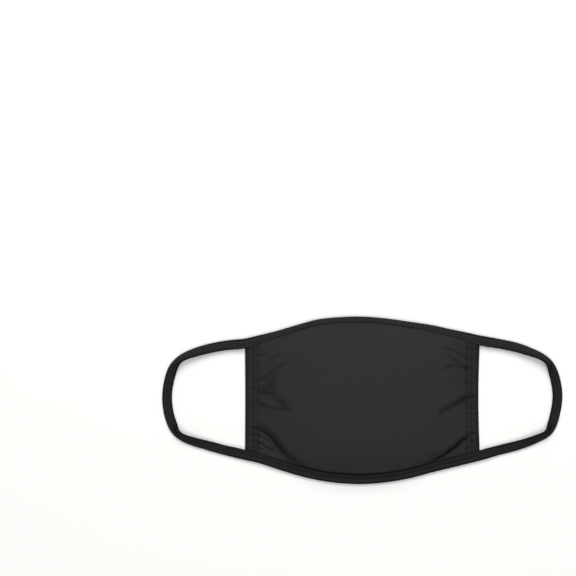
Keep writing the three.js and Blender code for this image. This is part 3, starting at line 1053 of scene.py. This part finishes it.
@dataclass
class SideHem:
    """A panel end turned under and stitched in two rows. Its face runs on from the panel's."""

    side: Side
    form: MaskForm
    finishes: Finishes
    stitch_places: tuple[float, float]
    width: float = 11.0
    thickness: float = 0.9
    edge_rows: int = 8
    dome_rows: int = 146
    face_columns: int = 29
    turn_room: float = 1.2
    foot_gap: float = 1.5
    foot_reach: float = 3.0
    tucked_rows: int = 3
    lowest: float = 1.0
    # Painted shade: rim_shade on the outer rim, which rolls away from the light, and dent_shade in dots along
    # the stitch rows' dents
    rim_shade: float = 0.38
    rim_reach: float = 2.4
    rim_drop: float = 0.55
    seam_drop: float = 0.35
    dent_shade: float = 0.45
    groove: float = 0.55
    puff: float = 0.22
    puff_away: float = 1.8
    under_height: float = 0.02

    def inwards(self) -> np.ndarray:
        """How far each column of the upper layer lies from the seam to the panel, outwards."""
        return np.linspace(0, self.width - self.turn_room, self.face_columns)

    def face(self) -> tuple[np.ndarray, np.ndarray]:
        """Lay the hem's upper layer.

        Returns:
            Its points, in columns from the seam outwards, and the painted shade of each.
        """
        places = self.form.panel_half - self.width + self.inwards()
        grid, shade = self.form.lattice(np.sort(self.side.value * places), self.edge_rows, self.dome_rows)
        if self.side is Side.LEFT:
            grid, shade = grid[::-1], shade[::-1]
        from_edge = self.width - self.inwards()
        lift = (-self.rim_drop * bell(from_edge, self.turn_room, 1.5)
                - self.seam_drop * bell(from_edge, self.width, 0.6))
        beat = 0.7 + 0.3 * np.sin(2 * math.pi * grid[..., 1] / StitchRow.pitch)
        # Painted shade on the rolled outer rim, which turns away from the light, and dotted painted shade in
        # the stitch rows' dents
        shade = shade + self.rim_shade * np.exp(-((from_edge / self.rim_reach) ** 4))[:, None]
        for place in self.stitch_places:
            dent = bell(from_edge, place, 0.7)
            lift = lift - self.groove * dent + self.puff * bell(from_edge, place - self.puff_away, 0.9)
            shade = shade + self.dent_shade * dent[:, None] * beat
        grid[..., 2] = np.maximum(grid[..., 2] + lift[:, None], self.lowest)
        first = self.edge_rows - self.tucked_rows
        return grid[:, first:-first], np.clip(shade, 0, self.form.darkest)[:, first:-first]

    def build(self) -> bpy.types.Object:
        """Build the hem: the upper layer, the turn at its outer edge and the lower layer on the table.

        Returns:
            The finished object.
        """
        upper, shade = self.face()
        bottom = self.thickness / 2
        lower = upper[::-1].copy()
        lower[..., 2] = bottom
        for end in (0, -1):
            away = lower[..., 1] - lower[:, end:end + 1 or None, 1]
            lower[..., 1] += np.sign(away.sum()) * self.foot_gap * bell(away, 0, self.foot_reach)
        middle, height = (upper[-1] + lower[0]) / 2, (upper[-1][:, 2] - bottom) / 2
        turn = []
        for angle in np.linspace(0, math.pi, 9)[1:-1]:
            ring = middle.copy()
            ring[:, 0] += self.side.value * self.turn_room * math.sin(angle)
            ring[:, 2] += height * math.cos(angle)
            turn.append(ring)
        lattice = np.concatenate([upper, np.stack(turn), lower])
        steps = np.linalg.norm(np.diff(lattice, axis=0), axis=2).mean(axis=1)
        across = np.concatenate([[0.0], np.cumsum(steps)])
        uv = np.stack(np.broadcast_arrays(across[:, None], run_along(upper[8])[None, :]), axis=2)
        shade = np.concatenate([shade, np.repeat(shade[-1:], len(turn), axis=0), shade[::-1]])
        return cloth_piece(f"side_hem_{self.side.name.lower()}_cloth", lattice, uv, shade, self.thickness,
                           self.finishes.hem)

    def sew(self) -> bpy.types.Object:
        """Sew the hem's two rows, which show on its upper face and on its lower one.

        Returns:
            The finished object.
        """
        upper, _ = self.face()
        way = self.side.value
        normals = lattice_normals(upper[::way])[::way]
        rows = []
        for place in self.stitch_places:
            k = float(np.interp(self.width - place, self.inwards(), np.arange(self.face_columns)))
            low, share = int(k), k - int(k)
            line = upper[low] * (1 - share) + upper[min(low + 1, self.face_columns - 1)] * share
            normal = normals[low]
            rows.append((line + normal * self.thickness / 2, normal))
            under = line.copy()
            under[:, 2] = self.under_height
            rows.append((under, np.broadcast_to(np.array([0.0, 0.0, -1.0]), normal.shape)))
        return StitchRow().piece(f"side_hem_{self.side.name.lower()}_stitches", rows, self.finishes.thread,
                                 "jersey_hem")


@dataclass
class Station:
    """The tape at a place on its ring.

    edge is its folded edge, way the way to its open edge, width its legs' width and spread half the gap
    between their middle layers. seam scales the painted shade in its seam's dents, lip is the painted shade
    of its open edge, below 0 where it is painted lighter as if catching the light, and pale is how much
    painted light makes it paler, where it faces the key light or lies in the dome's shadow.
    """

    edge: np.ndarray
    way: np.ndarray
    width: float
    spread: float
    seam: float
    lip: float
    pale: float


@dataclass
class EdgeTape:
    """The folded tape: one ring that binds both long edges of the panel and makes both ear loops."""

    form: MaskForm
    finishes: Finishes
    thickness: float = 0.9
    leg: float = 5.9
    corner_leg: float = 6.9
    nose_leg: float = 5.55
    strap_width: float = 7.4
    strap_leg: float = 6.75
    hem_leg: float = 6.1
    # Painted shade and light on the tape: the seams, dent_shade, rim_shade, crease_shade, tuck_shade and the
    # lips' shades darken the seam's dents, the turned rim, the strap's crease, the bends' tucks and the open
    # edge, where shade falls; the pale values paint the tape paler where it faces the key light or lies in
    # the dome's shadow, and lip_light paints the open edge under the dome lighter, as if it caught the light
    nose_seam: float = 0.5
    chin_seam: float = 1.75
    nose_painted_light: float = 0.2
    chin_pale: float = 0.22
    lip_light: float = 0.95
    groove: float = 0.5
    tuck: float = 1.0
    dent_shade: float = 0.5
    rim_shade: float = 0.6
    crease_shade: float = 0.4
    edge_shade: float = 0.42
    tuck_shade: float = 0.75
    bends: tuple[tuple[float, float, float], ...] = ((-152.5, 31.5, 0.5), (-151, -26.5, 1.0),
                                                     (154, 29.5, 1.0), (152.5, -25.5, 1.0))
    bend_reach: float = 5.0
    bound_spread: float = 1.1
    strap_spread: float = 0.52
    step: float = 1.3
    seam_place: float = 3.5
    strap_inset: float = 1.0
    strap_lift: float = 1.0
    strap_closing: float = 16.0
    strap_widening: float = 8.0
    strap_painted_light_span: tuple[float, float] = (22.0, 40.0)
    end_gap: float = 0.6
    dome_end: tuple[float, float] = (38.0, 62.0)
    chin_lip: float = 0.15
    nose_lip: float = 0.1
    chin_narrowing: float = 2.6
    nose_narrowing: float = 12.0
    outer_rows: tuple[float, ...] = (1.0, 0.85, 0.6, 0.35, 0.15)
    inner_rows: tuple[float, ...] = (1.0, 0.86, 0.7, 0.54, 0.38, 0.22, 0.09)
    puff: float = 0.18
    crease_place: float = 0.42
    crease_reach: float = 0.5
    dent_reach: float = 0.65
    rim_reach: float = 0.5
    lip_reach: float = 0.55
    darkest: float = 0.85
    tuck_span: tuple[float, float] = (0.22, 0.5)
    thread_rise: float = 0.1
    ease_rows: int = 8
    ease_rounds: int = 4

    def loop_stations(self, side: Side, stops: Sequence[Stop]) -> list[Station]:
        """The tape's lie round one ear, from the nose edge to the chin edge.

        Args:
            side: Which ear.
            stops: The loop's table.

        Returns:
            Stations in even steps.
        """
        form, sign, strap = self.form, side.value, self.strap_width
        reach = form.reach - form.panel_half - strap / 2

        def end(edge: Edge) -> tuple[np.ndarray, float]:
            """The strap's middle and slope where it leaves the panel."""
            point, way = form.edge_line(edge, sign * form.panel_half)
            return point - way * (form.tape_outside - strap / 2), math.asin(way[2])

        nose, nose_roll = end(Edge.NOSE)
        chin, chin_roll = end(Edge.CHIN)
        rows = [(*nose, nose_roll)]
        for stop in stops:
            roll = math.radians(stop.roll)
            height = strap / 2 * math.sin(roll) + self.strap_lift * math.cos(roll)
            rows.append((sign * (form.panel_half + stop.along * reach), stop.across * form.side_half,
                         height, roll))
        rows.append((*chin, chin_roll))
        table = np.array(rows)
        run = run_along(table[:, :3])
        at = np.linspace(0, run[-1], int(run[-1] / self.step))
        fine = np.stack([read_column(run, column, at) for column in table.T], axis=1)
        ways = unit(np.gradient(fine[:, :2], axis=0))
        ways[0], ways[-1] = (sign, 0), (-sign, 0)
        stations = []
        for place, way, share in zip(fine, ways, at / run[-1]):
            outwards = np.array([-sign * way[1], sign * way[0], 0.0])
            roll = place[3]
            across = outwards * math.cos(roll) + np.array([0, 0, -math.sin(roll)])
            from_end = min(share, 1 - share) * run[-1]
            closing = smoothstep(0, self.strap_closing, from_end)
            widening = smoothstep(0, self.strap_widening, from_end)
            spread = self.bound_spread + (self.strap_spread - self.bound_spread) * closing
            # The upper straps are painted paler where they face the key light, and get painted shade on their
            # open edge
            stations.append(Station(
                edge=place[:3] + across * (strap / 2 - self.thickness / 2 - spread), way=-across,
                width=self.hem_leg + (self.strap_leg - self.hem_leg) * widening, spread=spread,
                seam=1.0, lip=self.edge_shade,
                pale=self.nose_painted_light * smoothstep(*self.strap_painted_light_span, place[1])))
        return stations

    def edge_stations(self, edge: Edge) -> list[Station]:
        """The tape's lie along one edge of the panel.

        Args:
            edge: Which long edge.

        Returns:
            Stations in even steps, from left to right.
        """
        half = self.form.panel_half - self.end_gap
        stations = []
        for x in np.linspace(-half, half, int(2 * half / self.step)):
            point, way = self.form.edge_line(edge, float(x))
            from_middle = abs(x)
            # Painted light: under the dome the chin tape is painted paler and its open edge lighter, where
            # the dome's shadow falls; towards the corners its open edge gets painted shade. The nose tape is
            # painted paler where it faces the key light
            if edge is Edge.CHIN:
                under_dome = 1 - smoothstep(*self.dome_end, from_middle)
                seam, lip = self.chin_seam, self.edge_shade + self.chin_lip - self.lip_light * under_dome
                pale = self.chin_pale * (0.25 + 0.75 * under_dome)
                leg = self.corner_leg + (self.leg - self.corner_leg) * under_dome
                narrowing = self.chin_narrowing
            else:
                seam, lip, pale = self.nose_seam, self.nose_lip, self.nose_painted_light
                leg, narrowing = self.nose_leg, self.nose_narrowing
            width = leg + (self.hem_leg - leg) * smoothstep(half - narrowing, half, from_middle)
            stations.append(Station(edge=point, way=way, width=width, spread=self.bound_spread, seam=seam,
                                    lip=lip, pale=pale))
        return stations

    def stations(self) -> list[Station]:
        """The whole ring: nose edge, right loop, chin edge and left loop."""
        return (self.edge_stations(Edge.NOSE) + self.loop_stations(Side.RIGHT, RIGHT_LOOP)
                + self.edge_stations(Edge.CHIN)[::-1] + self.loop_stations(Side.LEFT, LEFT_LOOP)[::-1])

    def frames(self, ring: Sequence[Station]) -> tuple[np.ndarray, ...]:
        """Even out the stations.

        Args:
            ring: The stations.

        Returns:
            The folded edge, the inward ways, the upper face's normals, the widths and the spreads.
        """
        kernel = np.array([1, 2, 3, 2, 1], float) / 9

        def soften(name: str) -> np.ndarray:
            """One field of the stations, evened out round the ring.

            Args:
                name: The field's name.

            Returns:
                A row for each station.
            """
            values = np.array([getattr(station, name) for station in ring])
            padded = np.concatenate([values[-2:], values, values[:2]])
            return sum(k * padded[i:i + len(values)] for i, k in enumerate(kernel))

        edge, way = soften("edge"), soften("way")
        tangent = unit(np.roll(edge, -1, axis=0) - np.roll(edge, 1, axis=0))
        way = unit(way - tangent * (way * tangent).sum(axis=1, keepdims=True))
        normal = unit(np.cross(way, tangent))
        normal *= np.where(normal[:, 2] < 0, -1, 1)[:, None]
        return edge, way, normal, soften("width"), soften("spread")

    def strap_share(self, spread: np.ndarray | float) -> np.ndarray | float:
        """How far the tape is a closed strap: 0 on the panel and 1 on a loop."""
        return (self.bound_spread - spread) / (self.bound_spread - self.strap_spread)

    def stitch_place(self, width: np.ndarray | float, spread: np.ndarray | float) -> np.ndarray | float:
        """The distance of the stitch row from the folded edge."""
        return self.seam_place + (width - self.strap_inset - self.seam_place) * self.strap_share(spread)

    def profile(self, station: Station, along: float, width: float, spread: float,
                tuck: float) -> list[tuple[float, float, float]]:
        """The tape's middle line in section, from its upper leg's free edge round to its lower leg's.

        Args:
            station: The tape's place.
            along: Its distance along the ring, in millimetres.
            width: The legs' width.
            spread: Half the gap between the legs' middle layers.
            tuck: How far the inner half is pressed down, as in a loop's bend, from 0 to 1.

        Returns:
            The distance from the folded edge, the height and the painted shade of each point.
        """
        stitch = float(self.stitch_place(width, spread))
        strap = float(self.strap_share(spread))
        places = ([stitch + (width - stitch) * share for share in self.outer_rows]
                  + [stitch * share for share in self.inner_rows])
        ease = 0.07 * math.sin(along / 3.1) + 0.05 * math.sin(along / 1.37 + 1)
        beat = 1 - 0.35 * math.cos(along * 2 * math.pi / StitchRow.pitch)

        def upper_leg(a: float) -> tuple[float, float, float]:
            """A point of the upper leg.

            Args:
                a: Its distance from the folded edge.

            Returns:
                The same distance, its height and its shade.
            """
            dent = bell(a, stitch, self.dent_reach) * beat
            crease = strap * bell(a, self.crease_place * width, self.crease_reach)
            pressed = tuck * smoothstep(*self.tuck_span, a / width)
            puff = self.puff * math.sin(math.pi * min(1.0, max(0.0, a / stitch)))
            height = spread + puff - self.groove * dent - 0.25 * crease - self.tuck * pressed
            # Painted shade in the strap's crease, the bends' tucks, the turned rim, the seam's dotted dents
            # and the open edge, less the painted light
            shade = (self.crease_shade * crease + self.tuck_shade * pressed
                     + self.rim_shade * bell(a, 0, self.rim_reach) + self.dent_shade * station.seam * dent
                     + station.lip * bell(a, width, self.lip_reach) * beat)
            return a, height + ease * bell(a, width, 2), min(self.darkest, shade - station.pale)

        upper = [upper_leg(place) for place in places]
        # Painted shade on the turned rim, and a little on the lower leg, which lies on the table in its own
        # shade
        turn = [(-spread * math.sin(t), spread * math.cos(t), self.rim_shade)
                for t in np.linspace(0.3, math.pi - 0.3, 6)]
        lower = [(place, -spread - 0.06 * math.sin(math.pi * place / width), 0.1)
                 for place in places[::-1]]
        return upper + turn + lower

    def tucks(self, edge: np.ndarray) -> np.ndarray:
        """How far the strap's inner half is pressed down in the loops' bends.

        Args:
            edge: The folded edge's points.

        Returns:
            A share for each point, 1 being at a sharp bend.
        """
        depth = np.zeros(len(edge))
        for x, y, share in self.bends:
            depth += share * bell(np.hypot(edge[:, 0] - x, edge[:, 1] - y), 0, self.bend_reach)
        return depth.clip(0, 1)

    def ease_bends(self, lattice: np.ndarray) -> np.ndarray:
        """Even out the free edges along the ring, where the loops' bends crowd their points together.

        Args:
            lattice: The ring's columns, the last one being the first again.

        Returns:
            The same lattice with its free edges evened.
        """
        ring = lattice[:-1]
        row = np.arange(ring.shape[1])
        weight = np.clip(1 - np.minimum(row, row[::-1]) / self.ease_rows, 0, 1)[None, :, None]
        for _ in range(self.ease_rounds):
            even = (np.roll(ring, 1, axis=0) + np.roll(ring, -1, axis=0)) / 2
            ring = ring + 0.5 * weight * (even - ring)
        return np.concatenate([ring, ring[:1]])

    def build(self) -> bpy.types.Object:
        """Build the ring of tape.

        Returns:
            The finished object.
        """
        ring = self.stations()
        edge, way, normal, width, spread = self.frames(ring)
        run = run_along(np.vstack([edge, edge[:1]]))
        tucks = self.tucks(edge)
        rows, shade = [], []
        for k in range(len(edge) + 1):
            i = k % len(edge)
            section = self.profile(ring[i], run[i], width[i], spread[i], tucks[i])
            rows.append([edge[i] + way[i] * a + normal[i] * n for a, n, _ in section])
            shade.append([dark for _, _, dark in section])
        lattice = self.ease_bends(np.array(rows))
        uv = np.stack(np.broadcast_arrays(run_along(lattice[10])[None, :], run[:, None]), axis=2)
        return cloth_piece("edge_tape", lattice, uv, np.array(shade), self.thickness, self.finishes.tape,
                           closed=True)

    def sew(self) -> bpy.types.Object:
        """Sew the row along the tape's open edge, on both faces.

        Returns:
            The finished object.
        """
        edge, way, normal, width, spread = self.frames(self.stations())
        at = self.stitch_place(width, spread)[:, None]
        lift = (spread + self.thickness / 2 + self.thread_rise - self.groove)[:, None]
        rows = []
        for sign in (1, -1):
            line = edge + way * at + normal * lift * sign
            rows.append((np.vstack([line, line[:1]]), np.vstack([normal, normal[:1]]) * sign))
        return StitchRow().piece("edge_tape_stitches", rows, self.finishes.thread, "jersey_tape")


# The stage


@dataclass(frozen=True)
class Softbox:
    """A rectangular lamp that faces the mask: its place and size in metres and its power in watts."""

    name: str
    place: tuple[float, float, float]
    size: tuple[float, float]
    power: float

    def hang(self) -> None:
        """Hang the lamp."""
        lamp = bpy.data.lights.new(self.name, "AREA")
        lamp.shape = "RECTANGLE"
        lamp.size, lamp.size_y = self.size
        lamp.energy = self.power
        holder = bpy.data.objects.new(self.name, lamp)
        bpy.context.scene.collection.objects.link(holder)
        holder.location = self.place
        holder.rotation_euler = (-Vector(self.place)).to_track_quat("-Z", "Y").to_euler()


@dataclass
class Studio:
    """A pale table, two softboxes and a camera straight above."""

    fill: Softbox = Softbox("fill", place=(0.0, -1.0, 2.4), size=(2.6, 1.8), power=34)
    key: Softbox = Softbox("key", place=(0.05, 1.29, 1.53), size=(1.5, 1.2), power=29)
    room_light: float = 0.22
    table_drop: float = 0.0002
    camera_height: float = 2.0
    lens: float = 156.25
    sensor: float = 36.0
    image_mm: float = 460.8
    mask_px: tuple[float, float] = (362.25, 400.25)
    image_px: float = 576.0

    def table(self) -> None:
        """Lay the table top under the mask."""
        mesh = bmesh.new()
        bmesh.ops.create_grid(mesh, x_segments=1, y_segments=1, size=3.0)
        bmesh.ops.translate(mesh, verts=mesh.verts, vec=(0, 0, -self.table_drop))
        top = finish_piece(mesh, "table_top", MattLaminate().build())

    def lights(self) -> None:
        """Hang a broad softbox on the chin side and a smaller one beyond the nose edge, in a dim room."""
        world = bpy.data.worlds.new("studio")
        bpy.context.scene.world = world
        world.use_nodes = True
        background = world.node_tree.nodes["Background"]
        background.inputs[0].default_value = linear("FFFFFE")
        background.inputs[1].default_value = self.room_light
        self.fill.hang()
        self.key.hang()

    def camera(self) -> None:
        """Set the camera straight above, where the mask's middle falls on its place in the picture."""
        data = bpy.data.cameras.new("camera")
        data.lens, data.sensor_width = self.lens, self.sensor
        camera = bpy.data.objects.new("camera", data)
        bpy.context.scene.collection.objects.link(camera)
        scale = self.image_mm / self.image_px * MM
        centre = self.image_px / 2
        camera.location = ((centre - self.mask_px[0]) * scale, (self.mask_px[1] - centre) * scale,
                           self.camera_height)
        bpy.context.scene.camera = camera

    def build(self) -> None:
        """Set up the studio."""
        self.camera()
        self.table()
        self.lights()
        bpy.context.scene.view_settings.view_transform = "Standard"


def main() -> None:
    """Build the mask and its studio, piece by piece."""
    logging.basicConfig(level=logging.INFO, format="%(name)s: %(message)s")
    Studio().build()
    form, finishes = MaskForm(), Finishes()
    tape = EdgeTape(form, finishes)
    ring = tape.build()
    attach(ring, "root")
    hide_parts("nose_edge_binding", "chin_edge_binding", "ear_loop_left", "ear_loop_right")
    trims = [ring, tape.sew()]
    for side, places in ((Side.LEFT, (6.2, 9.9)), (Side.RIGHT, (5.6, 10.0))):
        hem = SideHem(side, form, finishes, places)
        band = hem.build()
        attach(band, "root")
        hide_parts(f"side_hem_{side.name.lower()}")
        trims += [band, hem.sew()]
    panel = FacePanel(form, finishes).build()
    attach(panel, "root")
    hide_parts("face_panel")
    for piece in [panel, *trims]:
        log.info("%s: %d faces", piece.name, len(piece.data.polygons))


if __name__ == "__main__":
    main()
